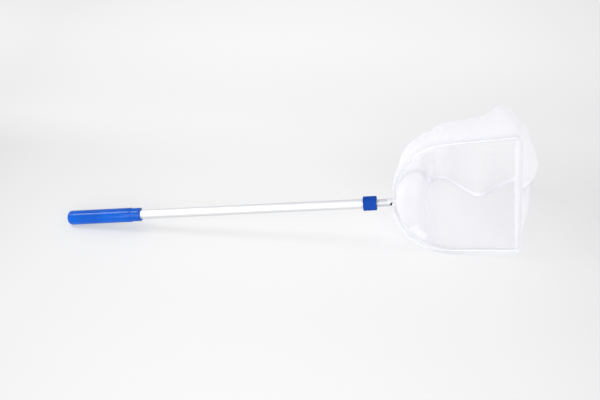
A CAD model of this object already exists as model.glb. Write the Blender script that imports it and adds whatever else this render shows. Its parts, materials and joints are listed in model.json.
"""Looks of the telescopic pond net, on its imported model."""
import json
from functools import cache
from math import asin, atan2, cos, exp, hypot, pi, radians, sin, tan

import bmesh
import bpy
from mathutils import Matrix, Vector


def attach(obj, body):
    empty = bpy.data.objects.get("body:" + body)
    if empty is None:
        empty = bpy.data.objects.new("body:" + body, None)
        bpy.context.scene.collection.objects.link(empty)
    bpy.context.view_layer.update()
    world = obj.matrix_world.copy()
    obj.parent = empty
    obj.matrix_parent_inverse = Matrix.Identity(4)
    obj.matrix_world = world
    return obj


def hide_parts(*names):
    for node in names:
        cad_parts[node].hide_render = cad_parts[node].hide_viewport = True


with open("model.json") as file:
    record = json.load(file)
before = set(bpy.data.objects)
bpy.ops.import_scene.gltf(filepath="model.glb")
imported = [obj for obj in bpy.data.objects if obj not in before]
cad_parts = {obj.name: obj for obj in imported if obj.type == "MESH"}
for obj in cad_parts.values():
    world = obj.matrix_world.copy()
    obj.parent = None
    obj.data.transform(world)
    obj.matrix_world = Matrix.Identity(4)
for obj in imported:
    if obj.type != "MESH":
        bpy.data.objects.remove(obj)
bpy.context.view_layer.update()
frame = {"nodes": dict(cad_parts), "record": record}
nodes = frame["nodes"]
MM = 0.001

# Sizes of the real pieces in millimetres and degrees, the same as in the part's source
GRIP_LEN, GRIP_R, LIP_LEN, LIP_STEP, END_ROUND = 133, 12.5, 17, 0.8, 7
TUBE_R, MOUTH_X = 8, 528.1
COLLAR_X, COLLAR_LEN, COLLAR_R, COLLAR_FRONT = 518, 22.5, 12, 1.7
GROOVES = 24
INNER_R, INNER_END, NOSE_LEN = 6, 562.5, 3
RIVET_BACK, RIVET_R, RIVET_H = 9, 2.4, 0.9
NECK_R, LEG_V = 5, 3.17
HOOP_LEN, HOOP_W, SHOULDER_R, CORNER_R, HOOP_TILT = 200, 214, 94, 8, 84
HEM_R, SEAM_R, BAG_DEPTH, FREE_GAP = 3.4, 1.6, 205, 0.3
LABEL_LEN, LABEL_W, LABEL_AT = 34, 14, 42
# Length of the half hoop, and width of the hem before it is folded, in metres
HALF_HOOP, HEM_FLAT = 0.395, 0.04

# The pole's own frame, from the joint that the inner tube slides on
slide = next(j for j in frame["record"]["behaviour"]["joints"] if j["name"] == "telescope")
pole_x = Vector(slide["axis"]).normalized()
pole_y = Vector((0, 1, 0))
pole_z = pole_x.cross(pole_y)
pole_start = Vector(slide["pos_m"]) - pole_x * MOUTH_X * MM
pole_turn = Matrix((pole_x, pole_y, pole_z)).transposed().to_4x4()
POLE = Matrix.Translation(pole_start) @ pole_turn @ Matrix.Scale(MM, 4)
HOOP = POLE @ Matrix.Translation((INNER_END, 0, 0)) @ Matrix.Rotation(radians(HOOP_TILT), 4, "X")


def hoop_place(u, v, behind=0.0):
    """A point of the hoop's plane, or behind it, in the model's frame."""
    return HOOP @ Vector((u, v, -behind))


# Materials

# The range that a noise pattern mostly keeps to
NOISE = {"From Min": 0.3, "From Max": 0.7}
# How deep a moulded or woven grain is, and a drawn line, in metres
GRAIN_DEPTH, LINE_DEPTH = 0.0002, 0.0001
# Scale of a drawn line along the tube, which makes it 50 times as long as it is wide
LINE_STRETCH = 0.02
# Spacing of the net's threads in millimetres, and the soft edge of a thread as a share of it
NET_PITCH, THREAD_EDGE = 2.2, 0.08


def colour(hex_code):
    """Linear colour of an sRGB hex value."""
    parts = [int(hex_code[i:i + 2], 16) / 255 for i in (0, 2, 4)]
    return [p / 12.92 if p <= 0.04045 else ((p + 0.055) / 1.055) ** 2.4 for p in parts] + [1.0]


def feed(tree, node, links):
    """A node's inputs get their values, or the sockets that feed them."""
    for key, value in links.items():
        if isinstance(value, bpy.types.NodeSocket):
            tree.links.new(value, node.inputs[key])
        else:
            node.inputs[key].default_value = value


def add(tree, kind, links=None, **settings):
    """One node, with its settings and what goes into it."""
    node = tree.nodes.new("ShaderNode" + kind)
    for key, value in settings.items():
        setattr(node, key, value)
    feed(tree, node, links or {})
    return node


def start(name):
    """A new material, with its tree and its shader."""
    material = bpy.data.materials.new(name)
    material.use_nodes = True
    tree = material.node_tree
    return material, tree, tree.nodes["Principled BSDF"]


def per_mm(size_mm):
    """Pattern scale for grains of a real size, on coordinates in metres."""
    return 1000.0 / size_mm


def grip_pvc():
    # Dip-moulded soft PVC: a deep blue skin with a wet gloss, faint orange peel and rubbed patches
    material, tree, shader = start("dip_moulded_blue_pvc")
    at = add(tree, "TexCoord").outputs["Object"]
    cloud = add(tree, "TexNoise", {"Vector": at, "Scale": per_mm(40), "Detail": 3.0}).outputs["Fac"]
    peel = add(tree, "TexNoise", {"Vector": at, "Scale": per_mm(1.6), "Detail": 2.0}).outputs["Fac"]
    rubbed = add(tree, "MapRange", {"Value": cloud, **NOISE}).outputs["Result"]
    tint = add(tree, "Mix", {"Factor": rubbed, "A": colour("004CAC"), "B": colour("0059BE")},
               data_type="RGBA")
    rough = add(tree, "MapRange", {"Value": rubbed, "To Min": 0.08, "To Max": 0.13})
    bump = add(tree, "Bump", {"Height": peel, "Strength": 0.12, "Distance": GRAIN_DEPTH})
    feed(tree, shader, {"Base Color": tint.outputs["Result"], "Roughness": rough.outputs["Result"],
                        "Normal": bump.outputs["Normal"], "IOR": 1.53, "Specular IOR Level": 0.2})
    return material


def collar_abs():
    # Injection-moulded ABS with a spark-eroded grain: darker blue, dull, with paler rubbed ribs
    material, tree, shader = start("moulded_blue_abs")
    at = add(tree, "TexCoord").outputs["Object"]
    grain = add(tree, "TexNoise", {"Vector": at, "Scale": per_mm(0.8), "Detail": 3.0}).outputs["Fac"]
    edge = add(tree, "NewGeometry").outputs["Pointiness"]
    worn = add(tree, "MapRange", {"Value": edge, "From Min": 0.5, "From Max": 0.6}).outputs["Result"]
    tint = add(tree, "Mix", {"Factor": worn, "A": colour("003C95"), "B": colour("074CA8")}, data_type="RGBA")
    rough = add(tree, "MapRange", {"Value": grain, **NOISE, "To Min": 0.42, "To Max": 0.58})
    bump = add(tree, "Bump", {"Height": grain, "Strength": 0.25, "Distance": GRAIN_DEPTH})
    feed(tree, shader, {"Base Color": tint.outputs["Result"], "Roughness": rough.outputs["Result"],
                        "Normal": bump.outputs["Normal"], "IOR": 1.53, "Specular IOR Level": 0.12})
    return material


def drawn_aluminium(name, dark, light, rough_low, rough_high):
    # Drawn aluminium tube: silky, with fine lines along its length and faint smears
    material, tree, shader = start(name)
    at = add(tree, "TexCoord").outputs["Object"]
    slope = atan2(pole_x.z, pole_x.x)
    drawn = add(tree, "Mapping", {"Vector": at, "Rotation": (0.0, slope, 0.0),
                                  "Scale": (LINE_STRETCH, 1.0, 1.0)})
    lines = add(tree, "TexNoise", {"Vector": drawn.outputs["Vector"], "Scale": per_mm(0.9), "Detail": 2.0})
    smear = add(tree, "TexNoise", {"Vector": at, "Scale": per_mm(35), "Detail": 4.0}).outputs["Fac"]
    tint = add(tree, "Mix", {"Factor": smear, "A": colour(dark), "B": colour(light)}, data_type="RGBA")
    rough = add(tree, "MapRange", {"Value": lines.outputs["Fac"], **NOISE,
                                   "To Min": rough_low, "To Max": rough_high})
    bump = add(tree, "Bump", {"Height": lines.outputs["Fac"], "Strength": 0.08, "Distance": LINE_DEPTH})
    feed(tree, shader, {"Base Color": tint.outputs["Result"], "Roughness": rough.outputs["Result"],
                        "Normal": bump.outputs["Normal"], "Metallic": 1.0})
    return material


def zinc_wire():
    # Zinc-plated spring steel wire: pale grey, with dull spots and a soft shine
    material, tree, shader = start("zinc_plated_steel_wire")
    at = add(tree, "TexCoord").outputs["Object"]
    spot = add(tree, "TexNoise", {"Vector": at, "Scale": per_mm(3), "Detail": 4.0}).outputs["Fac"]
    tint = add(tree, "Mix", {"Factor": spot, "A": colour("D8DADC"), "B": colour("E9EAEB")}, data_type="RGBA")
    rough = add(tree, "MapRange", {"Value": spot, **NOISE, "To Min": 0.5, "To Max": 0.34})
    feed(tree, shader, {"Base Color": tint.outputs["Result"], "Roughness": rough.outputs["Result"],
                        "Metallic": 1.0})
    return material


def moulded(name, dark, light, rough_low, rough_high):
    # Moulded plug, sleeve and bush plastics: a fine grain in one colour, dull
    material, tree, shader = start(name)
    at = add(tree, "TexCoord").outputs["Object"]
    grain = add(tree, "TexNoise", {"Vector": at, "Scale": per_mm(0.7), "Detail": 3.0}).outputs["Fac"]
    tint = add(tree, "Mix", {"Factor": grain, "A": colour(dark), "B": colour(light)}, data_type="RGBA")
    rough = add(tree, "MapRange", {"Value": grain, "To Min": rough_low, "To Max": rough_high})
    bump = add(tree, "Bump", {"Height": grain, "Strength": 0.2, "Distance": GRAIN_DEPTH})
    feed(tree, shader, {"Base Color": tint.outputs["Result"], "Roughness": rough.outputs["Result"],
                        "Normal": bump.outputs["Normal"]})
    return material


def knitted_mesh(name, light, dark, thread_share, hole_alpha, through, crowd):
    # Warp-knitted nylon net: round white threads in small diamonds, see-through between them.
    # The real holes are about 1 mm, too fine to show, so they are drawn twice as wide.
    material, tree, shader = start(name)
    uv = add(tree, "UVMap", uv_map="threads").outputs["UV"]
    diamonds = add(tree, "Mapping", {"Vector": uv, "Rotation": (0.0, 0.0, pi / 4),
                                     "Scale": (per_mm(NET_PITCH),) * 3})
    split = add(tree, "SeparateXYZ", {"Vector": diamonds.outputs["Vector"]}).outputs
    strands = []
    for axis in ("X", "Y"):
        wrap = add(tree, "Math", {0: split[axis]}, operation="FRACT").outputs["Value"]
        off = add(tree, "Math", {0: wrap, 1: 0.5}, operation="SUBTRACT").outputs["Value"]
        away = add(tree, "Math", {0: off}, operation="ABSOLUTE").outputs["Value"]
        strand = add(tree, "MapRange", {"Value": away, "From Min": thread_share / 2,
                                        "From Max": thread_share / 2 - THREAD_EDGE})
        strands.append(strand.outputs["Result"])
    net = add(tree, "Math", {0: strands[0], 1: strands[1]}, operation="MAXIMUM").outputs["Value"]
    soil = add(tree, "TexNoise", {"Vector": uv, "Scale": per_mm(60), "Detail": 3.0}).outputs["Fac"]
    mix = add(tree, "Mix", {"Factor": soil, "A": colour(dark), "B": colour(light)}, data_type="RGBA")
    tint = mix.outputs["Result"]
    feed(tree, shader, {"Base Color": tint, "Roughness": 0.62, "Sheen Weight": 0.25, "Sheen Roughness": 0.4})
    # The threads let part of the light through
    glow = add(tree, "BsdfTranslucent", {"Color": tint}).outputs["BSDF"]
    threads = add(tree, "MixShader", {0: through, 1: shader.outputs["BSDF"], 2: glow}).outputs["Shader"]
    # The holes let nearly all of it through, and close up near one line of the cloth
    place = add(tree, "SeparateXYZ", {"Vector": uv}).outputs[crowd["axis"]]
    off = add(tree, "Math", {0: place, 1: crowd["line"]}, operation="SUBTRACT").outputs["Value"]
    away = add(tree, "Math", {0: off}, operation="ABSOLUTE").outputs["Value"]
    holes = add(tree, "MapRange", {"Value": away, "From Min": crowd["near"], "From Max": crowd["far"],
                                   "To Min": crowd["alpha"], "To Max": hole_alpha}).outputs["Result"]
    alpha = add(tree, "MapRange", {"Value": net, "To Min": holes, "To Max": 1.0}).outputs["Result"]
    clear = add(tree, "BsdfTransparent").outputs["BSDF"]
    seen = add(tree, "MixShader", {0: alpha, 1: clear, 2: threads}).outputs["Shader"]
    feed(tree, tree.nodes["Material Output"], {"Surface": seen})
    return material


def woven_tape(name, light, dark, pitch_mm):
    # Woven polyester tape: close white threads over and under each other, uneven, with a silky sheen.
    # The real threads are too fine to show, so they are drawn wider.
    material, tree, shader = start(name)
    uv = add(tree, "UVMap", uv_map="threads").outputs["UV"]
    weave = add(tree, "TexChecker", {"Vector": uv, "Scale": per_mm(pitch_mm)}).outputs["Fac"]
    uneven = add(tree, "TexNoise", {"Vector": uv, "Scale": per_mm(4), "Detail": 2.0}).outputs["Fac"]
    mottle = add(tree, "Mix", {"Factor": 0.5, "A": weave, "B": uneven}).outputs["Result"]
    tint = add(tree, "Mix", {"Factor": mottle, "A": colour(dark), "B": colour(light)}, data_type="RGBA")
    bump = add(tree, "Bump", {"Height": weave, "Strength": 0.2, "Distance": GRAIN_DEPTH})
    feed(tree, shader, {"Base Color": tint.outputs["Result"], "Normal": bump.outputs["Normal"],
                        "Roughness": 0.6, "Sheen Weight": 0.3})
    return material


def sewing_thread():
    # Spun polyester thread: white and fuzzy
    material, tree, shader = start("spun_white_polyester_thread")
    at = add(tree, "TexCoord").outputs["Object"]
    fuzz = add(tree, "TexNoise", {"Vector": at, "Scale": per_mm(0.5), "Detail": 2.0}).outputs["Fac"]
    tint = add(tree, "Mix", {"Factor": fuzz, "A": colour("EDEDF2"), "B": colour("FBFBFC")}, data_type="RGBA")
    feed(tree, shader, {"Base Color": tint.outputs["Result"], "Roughness": 0.7, "Sheen Weight": 0.3})
    return material


PVC = grip_pvc()
ABS = collar_abs()
ALUMINIUM = drawn_aluminium("satin_anodised_aluminium", "DDDEDF", "E6E7E8", rough_low=0.5, rough_high=0.6)
DULL_ALUMINIUM = drawn_aluminium("mill_finish_aluminium", "C6C7C9", "D0D1D3", rough_low=0.6, rough_high=0.72)
WIRE = zinc_wire()
BLACK = moulded("black_moulded_polypropylene", "0B0B0C", "1B1B1D", rough_low=0.45, rough_high=0.6)
WHITE = moulded("natural_moulded_acetal", "DEDDD8", "EBEAE6", rough_low=0.35, rough_high=0.5)
# The panels are gathered at the neck
MESH = knitted_mesh("knitted_white_nylon_net", "FCFBFD", "F7F6FB",
                    thread_share=0.3, hole_alpha=0.06, through=0.5,
                    crowd=dict(axis="X", line=0, near=0.03, far=0.16, alpha=0.85))
# The hem is thicker where it goes round the wire
HEM = knitted_mesh("doubled_white_nylon_net", "F4F4F7", "EEEEF3",
                   thread_share=0.25, hole_alpha=0.08, through=0.5,
                   crowd=dict(axis="Y", line=HEM_FLAT / 2, near=0.008, far=0.0112, alpha=0.2))
# The hem's end is drawn together, so it is close all over
GATHERED = knitted_mesh("gathered_white_nylon_net", "FBFBFE", "F5F5FA",
                        thread_share=0.36, hole_alpha=0.2, through=0.4,
                        crowd=dict(axis="Y", line=HEM_FLAT / 2, near=0.01, far=0.012, alpha=0.75))
TAPE = woven_tape("woven_white_polyester_tape", "EFEFF2", "E0E0E7", pitch_mm=0.9)
THREAD = sewing_thread()
RIBBON = woven_tape("satin_white_ribbon", "DADADF", "CECED4", pitch_mm=0.6)


# Helpers for the pieces

# Points closer than this are merged, in millimetres
MERGE = 0.001


def finish_piece(name, bm, material, body, replaces=(), sharp_deg=None):
    """The mesh becomes a named piece that rides on a body."""
    mesh = bpy.data.meshes.new(name)
    for face in bm.faces:
        face.smooth = True
    bm.to_mesh(mesh)
    bm.free()
    if sharp_deg:
        mesh.set_sharp_from_angle(angle=radians(sharp_deg))
    mesh.materials.append(material)
    obj = bpy.data.objects.new(name, mesh)
    bpy.context.scene.collection.objects.link(obj)
    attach(obj, body)
    if replaces:
        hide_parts(*replaces)
    return obj


def spun(profile, steps):
    """A profile of (along, radius) points turned about the X axis, in millimetres."""
    bm = bmesh.new()
    line = [bm.verts.new((along, 0, radius)) for along, radius in profile]
    edges = [bm.edges.new(pair) for pair in zip(line, line[1:])]
    bmesh.ops.spin(bm, geom=line + edges, cent=(0, 0, 0), axis=(1, 0, 0), angle=2 * pi, steps=steps,
                   use_merge=True)
    bmesh.ops.remove_doubles(bm, verts=bm.verts, dist=MERGE)
    bmesh.ops.recalc_face_normals(bm, faces=bm.faces)
    return bm


def rounded_edge(along, radius, r, first_deg, last_deg, steps=5):
    """Points of a rounded edge in a profile, about (along, radius)."""
    turns = [radians(first_deg + (last_deg - first_deg) * i / steps) for i in range(steps + 1)]
    return [(along + r * cos(turn), radius + r * sin(turn)) for turn in turns]


def clamp(share):
    """A share kept from 0 to 1."""
    return min(max(share, 0), 1)


# The handle

# Grip: rings on its end and barrel, the step down to the lip, and the lip's mouth, in millimetres
END_RING, BARREL_RINGS = 3.3, (20, 45, 75, 100)
STEP_ROUND, FOOT_X, FOOT_R, FOOT_LEN = 0.5, 0.35, 0.05, 0.8
LIP_RING, LIP_ROUND, LIP_MOUTH, LIP_BEVEL, LIP_GAP = 8, 1.6, 0.9, 0.6, 0.1
# Collar: its rear mouth, its plain rims with the grooves' run-outs, and its front, in millimetres
REAR_GAP, REAR_MOUTH, REAR_DEEP, REAR_ROUND = 2.1, 2.2, 2, 0.7
REAR_RIM, REAR_RUN_OUT, FRONT_RIM, FRONT_RUN_OUT = 1.9, 0.3, 3.8, 0.4
FRONT_ROUND, BORE_MOUTH, BORE_BEVEL = 1.6, 0.8, 0.5
# Its grooves' depth, the skin that they are cut in, and a ring between their ends, in millimetres
GROOVE_DEPTH, GROOVE_SKIN, GROOVE_RING = 0.55, 0.2, 10
# Rivet: its rim and its gap in millimetres, and its dome in shares of height and radius
RIVET_RIM, RIVET_GAP = 0.25, 0.02
RIVET_DOME = [(0.6, 0.72), (0.9, 0.4), (1, 0)]
# Faces round the grip, each rib and the rivet
GRIP_STEPS, RIB_STEPS, RIVET_STEPS = 96, 8, 24


def make_grip():
    flat = GRIP_R - END_ROUND
    lip_r = GRIP_R - LIP_STEP
    step_x = GRIP_LEN - LIP_LEN
    profile = [(0, 0), (0, END_RING)]
    profile += rounded_edge(END_ROUND, flat, END_ROUND, 180, 90, 10)
    profile += [(along, GRIP_R) for along in BARREL_RINGS]
    profile += rounded_edge(step_x - STEP_ROUND, GRIP_R - STEP_ROUND, STEP_ROUND, 90, 20, 4)
    profile += [(step_x + FOOT_X, lip_r + FOOT_R), (step_x + FOOT_LEN, lip_r), (step_x + LIP_RING, lip_r)]
    profile += rounded_edge(GRIP_LEN - LIP_ROUND, lip_r - LIP_ROUND, LIP_ROUND, 90, 0, 6)
    profile += [(GRIP_LEN, TUBE_R + LIP_MOUTH), (GRIP_LEN - LIP_BEVEL, TUBE_R + LIP_GAP)]
    bm = spun(profile, GRIP_STEPS)
    bmesh.ops.transform(bm, matrix=POLE, verts=bm.verts)
    finish_piece("grip_skin", bm, PVC, "handle", ["grip"], sharp_deg=40)


def make_collar():
    bore = INNER_R + FREE_GAP
    end = COLLAR_X + COLLAR_LEN
    first, last = COLLAR_X + REAR_RIM, end - FRONT_RIM
    barrel = [first - REAR_RUN_OUT, first + REAR_RUN_OUT, COLLAR_X + GROOVE_RING, last - FRONT_RUN_OUT,
              last + FRONT_RUN_OUT]
    profile = [(COLLAR_X + REAR_DEEP, TUBE_R + REAR_GAP), (COLLAR_X, TUBE_R + REAR_MOUTH)]
    profile += rounded_edge(COLLAR_X + REAR_ROUND, COLLAR_R - REAR_ROUND, REAR_ROUND, 180, 90)
    profile += [(along, COLLAR_R) for along in barrel]
    profile += rounded_edge(end - FRONT_ROUND, COLLAR_R - FRONT_ROUND, FRONT_ROUND, 90, 0, 6)
    profile += [(end, bore + BORE_MOUTH), (end - BORE_BEVEL, bore), (end - COLLAR_FRONT, bore)]
    bm = spun(profile, GROOVES * RIB_STEPS)
    # Grooves between the ribs
    for vert in bm.verts:
        r = hypot(vert.co.y, vert.co.z)
        if first < vert.co.x < last and r > COLLAR_R - GROOVE_SKIN:
            wave = 0.5 + 0.5 * cos(GROOVES * atan2(vert.co.z, vert.co.y))
            cut = (r - GROOVE_DEPTH * wave ** 2) / r
            vert.co.y *= cut
            vert.co.z *= cut
    bmesh.ops.transform(bm, matrix=POLE, verts=bm.verts)
    finish_piece("collar_ribbed", bm, ABS, "collar", ["lock_collar"], sharp_deg=50)


def make_rivet():
    both = bmesh.new()
    profile = [(0, 0)] + rounded_edge(RIVET_RIM, RIVET_R - RIVET_RIM, RIVET_RIM, 180, 90, 3)
    profile += [(RIVET_H * high, RIVET_R * wide) for high, wide in RIVET_DOME]
    for turn in (90, -90):
        head = spun(profile, RIVET_STEPS)
        place = HOOP @ Matrix.Translation((-RIVET_BACK, 0, 0)) @ Matrix.Rotation(radians(turn), 4, "Y")
        place = place @ Matrix.Translation((INNER_R + RIVET_GAP, 0, 0))
        bmesh.ops.transform(head, matrix=place, verts=head.verts)
        part = bpy.data.meshes.new("head")
        head.to_mesh(part)
        head.free()
        both.from_mesh(part)
        bpy.data.meshes.remove(part)
    finish_piece("rivet_heads", both, DULL_ALUMINIUM, "head", ["neck_rivet"], sharp_deg=50)


make_grip()
make_collar()
make_rivet()

# CAD nodes whose shape is right keep it and get their finish
for name, material in [("outer_tube", ALUMINIUM), ("inner_tube", DULL_ALUMINIUM), ("hoop_wire", WIRE),
                       ("neck_plug", BLACK), ("lock_sleeve", BLACK), ("collet_ring", WHITE),
                       ("front_bush", WHITE), ("rear_bush", WHITE)]:
    held = nodes[name].data
    held.materials.clear()
    held.materials.append(material)


# The hoop's line and the bag's shape, as in the part's source apart from tucks and folds

# In what follows, along runs from the neck (0) to the middle of the hoop's far side (1), side is 1 for the
# hoop's upper half and -1 for its lower half, and down runs from the hem (0) to the seam (1).
neck_u, neck_v = NOSE_LEN + NECK_R, LEG_V + NECK_R
shoulder_c = Vector((neck_u + SHOULDER_R, neck_v))
far_corner = Vector((neck_u + HOOP_LEN, HOOP_W / 2))
to_corner = far_corner - shoulder_c
flare = atan2(to_corner.y, to_corner.x) - asin(SHOULDER_R / to_corner.length)
corner_cut = CORNER_R * tan((pi / 2 + flare) / 2)
side_start = shoulder_c + SHOULDER_R * Vector((-sin(flare), cos(flare)))
side_end = far_corner - corner_cut * Vector((cos(flare), sin(flare)))
far_end = far_corner - Vector((0, corner_cut))
corner_c = far_end - Vector((CORNER_R, 0))
far_mid = Vector((far_corner.x, 0))
neck_point = hoop_place(neck_u, 0)
far_point = hoop_place(far_corner.x, 0)
UP, BACK = Vector((0, 0, 1)), Vector((0, 1, 0))
BEHIND = (hoop_place(0, 0, 1) - hoop_place(0, 0)).normalized()
# How far cloth stays off the floor
FLOOR_GAP = 0.25 * MM

# Where the half hoop's shoulder, side, corner and far side begin and end
BREAKS = [0, 12 / 34, 22 / 34, 27 / 34, 1]
# Share of the neck's bend, which lies below 0
NECK_SHARE = 0.0194
# The seam's line, in shares of the hoop's length, the bag's depth and the height of the hoop's middle
SEAM_LINE = [Vector(shares) for shares in (
    (0, 0.06, 1), (0.05, 0.5, 0.6), (0.2, 0.97, 0.1), (0.4, 0.95, 0), (0.62, 0.84, 0),
    (0.8, 0.72, 0), (1, 0.88, 0), (1.16, 0.92, 0.1), (1.2, 0.55, 0.55), (1.02, 0.06, 1))]
# Small tucks in the seam, left of its middle: how far back, where along it, and how wide
TUCKS = [(-0.1, 0.303, 0.02), (0.03, 0.262, 0.02), (0.05, 0.39, 0.045)]
# How the upper panel is drawn back and out from the hem, and up from the seam, in shares of its reach
KNOTS = [0, 0.25, 0.6, 0.75, 1]
DRAW_BACK = [0.33, 0.32, 0.6, 0.52, 0.36]
DRAW_OUT = [0.15, 0.06, 0.19, 0.03, 0.55]
DRAW_UP = [0.11, 0.15, 0.37, 0.25, 0.15]
# How the lower panel is drawn out from the hem, and back from it and in from the seam
LOW_OUT = [0, 0, 0, 0, 0.4]
LOW_DRAW = 0.33
# How far behind the wire a panel starts, as a share of the hem's radius
MESH_START = 0.6
# How far from the seam's middle line it ends, in millimetres
MESH_END = 0.5
# Soft folds of the hanging mesh: height in millimetres, waves along and down, and phase
FOLDS = [(2.2, 3.1, 0.55, 0.6), (1.5, 6.7, -0.8, 2.1), (0.8, 2.3, 1.7, 1.1), (0.5, 12.3, 0.9, 0)]
# How they fade towards hem and seam, and their size in the lower panel
FOLD_FADE, LOW_FOLDS = 1.2, 0.5
# A panel's length over the straight distance from hem to seam
MESH_BOW = 1.15
# Steps over which the way of the seam, the hoop and a panel is measured
SEAM_STEP, HOOP_STEP, ALONG_STEP, DOWN_STEP = 0.01, 0.008, 0.004, 0.01


def between(at, values, knots=KNOTS):
    """Straight lines through the values at the knots."""
    for i in range(len(knots) - 1):
        if at <= knots[i + 1]:
            part = (at - knots[i]) / (knots[i + 1] - knots[i])
            return values[i] + (values[i + 1] - values[i]) * part
    return values[-1]


def smooth_through(points, share):
    """A smooth curve through the points, at a share of its run."""
    last = len(points) - 1
    i = min(int(share * last), last - 1)
    k = share * last - i
    a, b, c, d = (points[j] for j in (max(i - 1, 0), i, i + 1, min(i + 2, last)))
    second = a - 2.5 * b + 2 * c - d / 2
    third = 1.5 * b - a / 2 - 1.5 * c + d / 2
    return b + (c - a) * k / 2 + second * k ** 2 + third * k ** 3


def bend(line, k):
    """A cubic curve drawn by four points."""
    p, q, r, s = line
    return (1 - k) ** 3 * p + 3 * (1 - k) ** 2 * k * q + 3 * (1 - k) * k * k * r + k ** 3 * s


def waves(rows, along, down=0):
    """The sum of waves, each with its height, its number along and down, and its phase."""
    return sum(height * sin(2 * pi * (many * along + deep * down) + phase)
               for height, many, deep, phase in rows)


def square_to(direction, way):
    """The part of a direction that is square to a way."""
    return (direction - way * direction.dot(way)).normalized()


def hoop_at(along):
    """The half hoop's line in its plane, which goes on round the neck's bend below 0."""
    if along < 0:
        turn = along / NECK_SHARE * pi / 2
        return Vector((NOSE_LEN + NECK_R * cos(turn), neck_v + NECK_R * sin(turn)))
    stretch = next((i for i in range(3) if along <= BREAKS[i + 1]), 3)
    part = (along - BREAKS[stretch]) / (BREAKS[stretch + 1] - BREAKS[stretch])
    if stretch == 0:
        turn = pi - (pi / 2 - flare) * part
        return shoulder_c + SHOULDER_R * Vector((cos(turn), sin(turn)))
    if stretch == 1:
        return side_start.lerp(side_end, part)
    if stretch == 2:
        turn = (pi / 2 + flare) * (1 - part)
        return corner_c + CORNER_R * Vector((cos(turn), sin(turn)))
    return far_end.lerp(far_mid, part)


def hoop_out(along, side):
    """Outwards in the hoop's plane."""
    before, after = max(along - HOOP_STEP, -NECK_SHARE), min(along + HOOP_STEP, 1)
    way = (hoop_at(after) - hoop_at(before)).normalized()
    return (hoop_place(-way.y, side * way.x) - hoop_place(0, 0)).normalized()


def seam_share(along, tucked=True):
    """A point of the seam in its shares, with or without its tucks."""
    along = max(along, 0)
    share = smooth_through(SEAM_LINE, along)
    if tucked:
        for back, place, width in TUCKS:
            share.y += back * exp(-((along - place) / width) ** 2)
    return share


def seam_at(along, tucked=True):
    """A point of the seam in the model's frame."""
    share = seam_share(along, tucked)
    middle = neck_point.lerp(far_point, clamp(share.x))
    return Vector((neck_point.x + (far_point.x - neck_point.x) * share.x,
                   pole_start.y + BAG_DEPTH * MM * share.y,
                   middle.z * max(share.z, 0) + SEAM_R * MM))


def seam_way(along, tucked=True):
    """The way that the seam runs."""
    before, after = max(along - SEAM_STEP, 0), min(along + SEAM_STEP, 1)
    return (seam_at(after, tucked) - seam_at(before, tucked)).normalized()


@cache
def mesh_line(along, side):
    """The four points that draw one line of mesh from the hem to the seam."""
    wire = hoop_at(along)
    first = hoop_place(wire.x, side * wire.y, HEM_R * MESH_START)
    high = max(seam_share(along).z, 0)
    into = square_to(UP if side > 0 else -BACK * (1 - high) - UP * high, seam_way(along, False))
    last = seam_at(along) + into * MESH_END * MM
    reach = (last - first).length
    out = hoop_out(along, side)
    if side > 0:
        from_hem = BACK * between(along, DRAW_BACK) + out * between(along, DRAW_OUT)
        from_seam = UP * between(along, DRAW_UP)
    else:
        from_hem = BACK * LOW_DRAW + out * between(along, LOW_OUT)
        from_seam = into * LOW_DRAW
    return first, first + reach * from_hem, last + reach * from_seam, last


def sheet(name, columns, rows, place, threads, material, replaces=(), relax=0):
    """A cloth grid: place gives each point of it, and threads where that is on the flat cloth, in metres."""
    bm = bmesh.new()
    bmesh.ops.create_grid(bm, x_segments=columns, y_segments=rows, size=0.5)
    uv = bm.loops.layers.uv.new("threads")
    shares = {vert: (clamp(vert.co.x + 0.5), clamp(vert.co.y + 0.5)) for vert in bm.verts}
    for vert, share in shares.items():
        vert.co = place(*share)
    for face in bm.faces:
        for loop in face.loops:
            loop[uv].uv = threads(*shares[loop.vert])
    free = [vert for vert in bm.verts if not vert.is_boundary]
    for _ in range(relax):
        bmesh.ops.smooth_vert(bm, verts=free, factor=0.5, use_axis_x=True, use_axis_y=True, use_axis_z=True)
    bmesh.ops.recalc_face_normals(bm, faces=bm.faces)
    return finish_piece(name, bm, material, "head", replaces)


def panel(name, side, node, columns, rows, relax):
    """One half of the bag, hung from the hem to the seam in soft folds."""
    size = 1.0 if side > 0 else LOW_FOLDS

    def place(along, down):
        line = mesh_line(along, side)
        before = mesh_line(max(along - ALONG_STEP, 0), side)
        after = mesh_line(min(along + ALONG_STEP, 1), side)
        ahead = bend(after, down) - bend(before, down)
        below = bend(line, min(down + DOWN_STEP, 1)) - bend(line, max(down - DOWN_STEP, 0))
        fold = size * sin(pi * down) ** FOLD_FADE * waves(FOLDS, along, down)
        point = bend(line, down) + ahead.cross(below).normalized() * fold * MM
        point.z = max(point.z, 2 * FLOOR_GAP)
        return point

    def threads(along, down):
        line = mesh_line(along, side)
        return along * HALF_HOOP, down * (line[3] - line[0]).length * MESH_BOW

    return sheet(name, columns, rows, place, threads, MESH, [node], relax)


upper = panel("upper_mesh", 1, "upper_panel", 150, 60, relax=4)
lower = panel("lower_mesh", -1, "lower_panel", 150, 48, relax=60)


# The hem, mesh folded loosely round the wire and sewn down to the panels

# Where the hem starts above the neck and ends below it
HEM_FIRST, HEM_LAST = -0.016, 0.034
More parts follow.
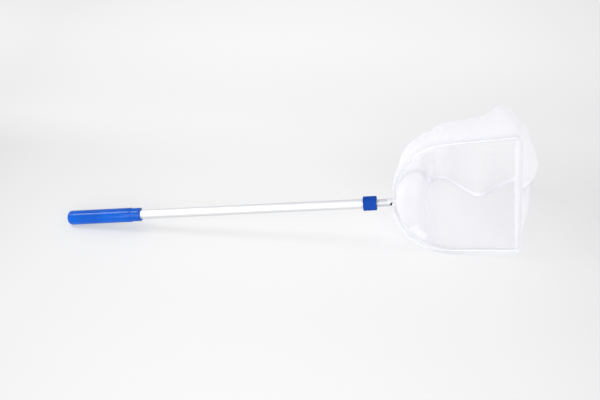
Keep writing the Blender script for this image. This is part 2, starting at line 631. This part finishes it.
# Slack of the hem outside and inside the wire, its lean forward and its tails, in millimetres, round the hoop
HEM_KNOTS = [0, 0.03, 0.10, 0.16, 0.20, 0.32, 0.36, 0.42, 0.58, 0.64, 0.68, 0.75, 0.82, 0.88, 0.95, 1]
HEM_OUT = [3, 4, 5, 4, 3, 2.6, 3, 4, 4, 4.5, 6, 7, 7, 6, 7, 9]
HEM_IN = [0.5, 2.5, 4, 3, 1, 0.6, 3, 7, 6, 3, 1, 1, 2, 4, 5, 1.5]
HEM_LEAN = [0, 0, 0, 0, 0, 0, 0, 0, 0, 1, 2.5, 3, 3, 1.5, 0.5, 0]
HEM_TAIL = [8, 11, 11, 11, 11, 11, 11, 11, 9, 7, 6, 6, 6, 7, 8, 8]
# Places along the tails, and how far they stand off the panel there, in millimetres
OUTER_TAIL = [(1, 0.7), (0.5, 1.2), (0, 1.7)]
INNER_TAIL = [(0.15, 1.5), (0.55, 1.1), (1, 0.7)]
# Creases round the hem, as waves, and how much of them its slack and its tails show
HEM_CREASES = [(0.5, 43, 0, 0), (0.4, 67, 0, 1.3), (0.3, 17, 0, 0.4)]
SLACK_CREASE, TAIL_CREASE = 0.12, 0.4
# A tail's least reach in metres, its longest share of the panel, and how high the hem piles on the floor
TAIL_REACH, TAIL_SHARE, HEM_PILE = 0.02, 0.4, 1.5 * MM


def hem_frame(run):
    """Wire centre, outward, off the panel and the panel's line, at a share once round the hoop."""
    side = 1 if run <= 0.5 else -1
    part = 2 * run if side > 0 else 2 - 2 * run
    along = part + (1 - part) * (HEM_FIRST if side > 0 else HEM_LAST)
    wire = hoop_at(along)
    out = hoop_out(along, side)
    line = mesh_line(along, side)
    lift = square_to(out, (line[1] - line[0]).normalized())
    return hoop_place(wire.x, side * wire.y), out, lift, line


@cache
def hem_section(run):
    """Points across the hem, from its outer tail round the wire to its inner tail."""
    centre, out, lift, line = hem_frame(run)
    slack, lip, lean, tail = (between(run, row, HEM_KNOTS) for row in (HEM_OUT, HEM_IN, HEM_LEAN, HEM_TAIL))
    crease = waves(HEM_CREASES, run)
    slack += SLACK_CREASE * slack * crease
    lip += SLACK_CREASE * lip * crease
    end = min(tail * MM / max((line[1] - line[0]).length * 3, TAIL_REACH), TAIL_SHARE)
    # Round the wire: outwards and behind, in millimetres
    ring = [(0.75 * slack, 1.0), (slack, -0.6 - lean), (0.2 * slack, -2.3), (-1 - 0.5 * lip, -1.5),
            (-2 - lip, -0.2), (-1.2 - 0.5 * lip, 1.2)]
    off = TAIL_CREASE * crease
    points = [bend(line, end * part) + lift * (height + off) * MM for part, height in OUTER_TAIL]
    points += [centre + (out * outwards + BEHIND * behind) * MM for outwards, behind in ring]
    points += [bend(line, end * part) - lift * (height - off) * MM for part, height in INNER_TAIL]
    return points


def hem_place(run, across):
    """A point of the hem, at a share once round the hoop and a share across the cloth."""
    point = smooth_through(hem_section(run), across)
    # Cloth that would sink lies forward on the floor, its upper layers on the lower ones
    lowest = FLOOR_GAP + across * HEM_PILE
    if point.z < lowest:
        point.y -= lowest - point.z
        point.z = lowest
    return point


hem = sheet("folded_hem", 460, 33, hem_place,
            lambda run, across: (run * 2 * HALF_HOOP, across * HEM_FLAT),
            HEM, ["hem_sleeve"])


# The hem's upper end, drawn over the top and front of the tube's end

# Where it starts and how far it goes, in degrees round the tube and in millimetres along it
END_FROM, END_TURN, END_BACK, END_LEN = -75, 128, 4.5, 11
# How far it stands off the tube, in millimetres, and how and from which share it dips in at the front
END_LOOSE, END_DIP, END_DIP_FROM = 0.9, 2.2, 0.6
# Its width and length when flat, in metres
END_FLAT_W, END_FLAT_L = 0.018, 0.011


def hem_end_place(around, forward):
    """A point of the end, with ragged edges and small puckers."""
    ragged_side = 14 * sin(5 * forward)
    ragged_front = 0.8 * sin(9 * around)
    pucker = 0.35 * sin(11 * around + 3 * forward)
    turn = radians(END_FROM + (END_TURN + ragged_side) * around)
    x = INNER_END - END_BACK + END_LEN * forward + ragged_front
    r = INNER_R + END_LOOSE + pucker - END_DIP * max(forward - END_DIP_FROM, 0)
    return POLE @ Vector((x, -r * sin(turn), r * cos(turn)))


hem_end = sheet("hem_end", 28, 12, hem_end_place,
                lambda around, forward: (around * END_FLAT_W, HEM_FLAT / 2 + (forward - 0.5) * END_FLAT_L),
                GATHERED)


# The bound seam, a folded tape round both panels' edges

# Degrees that the band leans, half its width and half its thickness in millimetres, and its shift as a share
SEAM_LEAN, SEAM_HALF, SEAM_THICK, SEAM_SHIFT = 40, 3.6, 0.7, 0.7
# Waves of the band's edge
SEAM_WAVES = [(0.12, 38, 0, 0), (0.08, 61, 0, 0.7)]
# Length, and way round the band, in metres
SEAM_LONG, SEAM_AROUND = 0.5, 0.016


def seam_place(along, around):
    """A point of the band, which stands up from the floor and faces the mouth."""
    way = seam_way(along)
    high = square_to(UP, way)
    wide = high.cross(way)
    lean = radians(SEAM_LEAN)
    wide, high = wide * cos(lean) + high * sin(lean), high * cos(lean) - wide * sin(lean)
    turn = 2 * pi * around
    width = (SEAM_SHIFT + cos(turn)) * SEAM_HALF * (1 + waves(SEAM_WAVES, along))
    point = seam_at(along) + (wide * width + high * sin(turn) * SEAM_THICK) * MM
    point.z = max(point.z, FLOOR_GAP / 2)
    return point


seam = sheet("bound_seam", 260, 10, seam_place,
             lambda along, around: (along * SEAM_LONG, around * SEAM_AROUND),
             TAPE, ["bag_seam"])


# Sewing threads along the hem

# Stitches once round the hoop, their length and thickness in millimetres, and the step that gives their way
STITCHES, STITCH_LEN, STITCH_THICK, STITCH_STEP = 230, 2.6, 0.7, 0.002
# How far from the hem's edges they run, as a share of its width, and how far off it in millimetres
STITCH_IN, STITCH_OFF = 0.05, 0.15


def stitches(name, across, off):
    """A row of thread stitches along the hem."""
    bm = bmesh.new()
    shape = Matrix.Diagonal((STITCH_LEN / 2, STITCH_THICK / 2, STITCH_THICK / 2, 1))
    for i in range(STITCHES):
        run = i / STITCHES
        here, there = hem_place(run, across), hem_place(min(run + STITCH_STEP, 1), across)
        _, _, lift, _ = hem_frame(run)
        turn = (there - here).normalized().to_track_quat("X", "Z").to_matrix().to_4x4()
        place = Matrix.Translation(here + lift * off * MM)
        bmesh.ops.create_uvsphere(bm, u_segments=6, v_segments=4, radius=MM, matrix=place @ turn @ shape)
    return finish_piece(name, bm, THREAD, "head")


outer_stitches = stitches("hem_stitches_outside", STITCH_IN, STITCH_OFF)
inner_stitches = stitches("hem_stitches_inside", 1 - STITCH_IN, -STITCH_OFF)


# The bare sewn tag, held by the hem's inner edge

# How far in from the hem and in front of the hoop it starts, its curl and its wave, in millimetres
TAG_IN, TAG_FRONT, TAG_CURL, TAG_WAVE, TAG_PHASE = 4.5, 0.6, 2.2, 0.5, 0.4


def tag_place(along, inward):
    """A point of the tag, which curls forward at its free edge."""
    edge = SHOULDER_R - HEM_R - FREE_GAP - TAG_IN
    turn = radians(180 + LABEL_AT) + (along - 0.5) * LABEL_LEN / edge
    r = edge - inward * LABEL_W
    curl = TAG_CURL * inward * inward + TAG_WAVE * sin(2 * pi * along + TAG_PHASE) * inward
    return hoop_place(shoulder_c.x + r * cos(turn), -shoulder_c.y + r * sin(turn), -TAG_FRONT - curl)


tag = sheet("sewn_tag", 24, 10, tag_place,
            lambda along, inward: (along * LABEL_LEN * MM, inward * LABEL_W * MM),
            RIBBON, ["label_tag"])


# Floor, light and camera

# The paper's glow from front to back: place, strength in its middle, and loss with the square of the distance
SWEEP = [(0.0, 0.81, 0.57), (0.18, 0.875, 0.8), (0.33, 0.835, 0.72), (0.48, 0.885, 0.4), (0.8, 1.0, 0.35)]
# Where those places begin and end, the middle, and the most that the square counts, in metres
SWEEP_FRONT, SWEEP_BACK, SWEEP_MIDDLE, SWEEP_SQUARE = -0.3, 0.9, 0.1, 0.6
# Where the sweep runs out into the backdrop, in metres from the origin, and its share of the paper till then
SWEEP_ENDS, BACKDROP_FROM, SWEEP_SHARE = 1.1, 2.0, 0.55
# Strength of the backdrop that is seen, and of the light that comes from it
BACKDROP, WORLD_LIGHT = 0.84, 0.65
# Half the floor's side, and how far it lies below the object, in metres
FLOOR_HALF, FLOOR_DROP = 8, 0.0001
# Softboxes: place, aim and size in metres, and watts
LAMPS = {"top_softbox": ((-0.9, -0.12, 1.05), (-0.34, -0.1, 0.02), (0.42, 0.4), 4.6),
         "front_softbox": ((0.2, -2.1, 1.05), (0.1, 0, 0.05), (3.2, 1.8), 48),
         "left_softbox": ((-1.6, 0.5, 0.8), (0.25, 0.05, 0.1), (1.0, 0.8), 4)}
# The camera's angles in degrees, its distance and aim in millimetres, and its lens in pixels and millimetres
CAMERA_RISE, CAMERA_ROLL, CAMERA_SWING = 38.39, 0.15, 5.46
CAMERA_AWAY, AIM_ALONG, AIM_UP = 1388.92, 407.5, 83.48
FOCAL_PX, IMAGE_W, SENSOR_W = 833, 600, 36


def seen_by(tree, rays):
    """1 for these kinds of ray, and 0 for others."""
    path = add(tree, "LightPath").outputs
    seen = path[rays[0]]
    for ray in rays[1:]:
        seen = add(tree, "Math", {0: seen, 1: path[ray]}, operation="MAXIMUM").outputs["Value"]
    return seen


def white_paper():
    # Matt white paper. To the camera it is partly a lit sweep, greyer to its sides, that keeps the shadows
    material, tree, shader = start("matt_white_paper")
    feed(tree, shader, {"Base Color": colour("F4F4F4"), "Roughness": 0.9, "Specular IOR Level": 0.1})
    place = add(tree, "TexCoord").outputs["Object"]
    at = add(tree, "SeparateXYZ", {"Vector": place}).outputs
    depth = add(tree, "MapRange", {"Value": at["Y"], "From Min": SWEEP_FRONT, "From Max": SWEEP_BACK})
    levels = []
    for column in (1, 2):
        ramp = add(tree, "ValToRGB", {"Fac": depth.outputs["Result"]})
        ramp.color_ramp.interpolation = "EASE"
        stops = ramp.color_ramp.elements
        stops[1].position = SWEEP[-1][0]
        for row in SWEEP[1:-1]:
            stops.new(row[0])
        for stop, row in zip(stops, SWEEP):
            stop.color = (row[column],) * 3 + (1,)
        levels.append(ramp.outputs["Color"])
    middle, fall = levels
    side = add(tree, "Math", {0: at["X"], 1: SWEEP_MIDDLE}, operation="SUBTRACT").outputs["Value"]
    square = add(tree, "Math", {0: side, 1: side}, operation="MULTIPLY").outputs["Value"]
    least = add(tree, "Math", {0: square, 1: SWEEP_SQUARE}, operation="MINIMUM").outputs["Value"]
    loss = add(tree, "Math", {0: least, 1: fall}, operation="MULTIPLY").outputs["Value"]
    level = add(tree, "Math", {0: middle, 1: loss}, operation="SUBTRACT").outputs["Value"]
    # Far from the object it runs out into the backdrop
    away = add(tree, "VectorMath", {0: place}, operation="LENGTH").outputs["Value"]
    fade = add(tree, "MapRange", {"Value": away, "From Min": SWEEP_ENDS, "From Max": BACKDROP_FROM})
    far = fade.outputs["Result"]
    glow = add(tree, "MapRange", {"Value": far, "To Min": level, "To Max": BACKDROP}).outputs["Result"]
    sweep = add(tree, "Emission", {"Strength": glow}).outputs["Emission"]
    most = add(tree, "MapRange", {"Value": far, "To Min": SWEEP_SHARE, "To Max": 1.0}).outputs["Result"]
    seen = seen_by(tree, ["Is Camera Ray", "Is Glossy Ray"])
    share = add(tree, "Math", {0: seen, 1: most}, operation="MULTIPLY").outputs["Value"]
    paper = add(tree, "MixShader", {0: share, 1: shader.outputs["BSDF"], 2: sweep}).outputs["Shader"]
    feed(tree, tree.nodes["Material Output"], {"Surface": paper})
    return material


def make_floor():
    bm = bmesh.new()
    bmesh.ops.create_grid(bm, x_segments=1, y_segments=1, size=FLOOR_HALF)
    bmesh.ops.translate(bm, verts=bm.verts, vec=(0, 0, -FLOOR_DROP))
    mesh = bpy.data.meshes.new("studio_floor")
    bm.to_mesh(mesh)
    bm.free()
    mesh.materials.append(white_paper())
    floor = bpy.data.objects.new("studio_floor", mesh)
    bpy.context.scene.collection.objects.link(floor)


def make_world():
    world = bpy.data.worlds.new("studio")
    bpy.context.scene.world = world
    world.use_nodes = True
    tree = world.node_tree
    seen = seen_by(tree, ["Is Camera Ray", "Is Glossy Ray", "Is Transmission Ray"])
    level = add(tree, "MapRange", {"Value": seen, "To Min": WORLD_LIGHT, "To Max": BACKDROP})
    feed(tree, tree.nodes["Background"], {"Color": colour("FCFCFF"), "Strength": level.outputs["Result"]})


def make_lamp(name, place, aim, size, watts):
    light = bpy.data.lights.new(name, "AREA")
    light.shape = "RECTANGLE"
    light.size, light.size_y = size
    light.energy = watts
    obj = bpy.data.objects.new(name, light)
    obj.location = place
    obj.rotation_euler = (Vector(aim) - Vector(place)).to_track_quat("-Z", "Y").to_euler()
    bpy.context.scene.collection.objects.link(obj)


def make_camera():
    rise, roll = radians(CAMERA_RISE), radians(CAMERA_ROLL)
    aim = pole_start + Vector((AIM_ALONG, 0, 0)) * MM
    aim.z = AIM_UP * MM
    swing = Matrix.Rotation(radians(CAMERA_SWING), 3, "Z")
    back = swing @ Vector((0, -cos(rise), sin(rise)))
    right = swing @ Vector((1, 0, 0))
    up = back.cross(right)
    across = right * cos(roll) + up * sin(roll)
    upright = up * cos(roll) - right * sin(roll)
    turn = Matrix((across, upright, back)).transposed().to_4x4()
    data = bpy.data.cameras.new("photo_view")
    data.sensor_fit = "HORIZONTAL"
    data.sensor_width = SENSOR_W
    data.lens = SENSOR_W * FOCAL_PX / IMAGE_W
    camera = bpy.data.objects.new("photo_view", data)
    camera.matrix_world = Matrix.Translation(aim + back * CAMERA_AWAY * MM) @ turn
    bpy.context.scene.collection.objects.link(camera)
    bpy.context.scene.camera = camera


make_floor()
make_world()
for name, settings in LAMPS.items():
    make_lamp(name, *settings)
make_camera()
bpy.context.scene.view_settings.view_transform = "Standard"
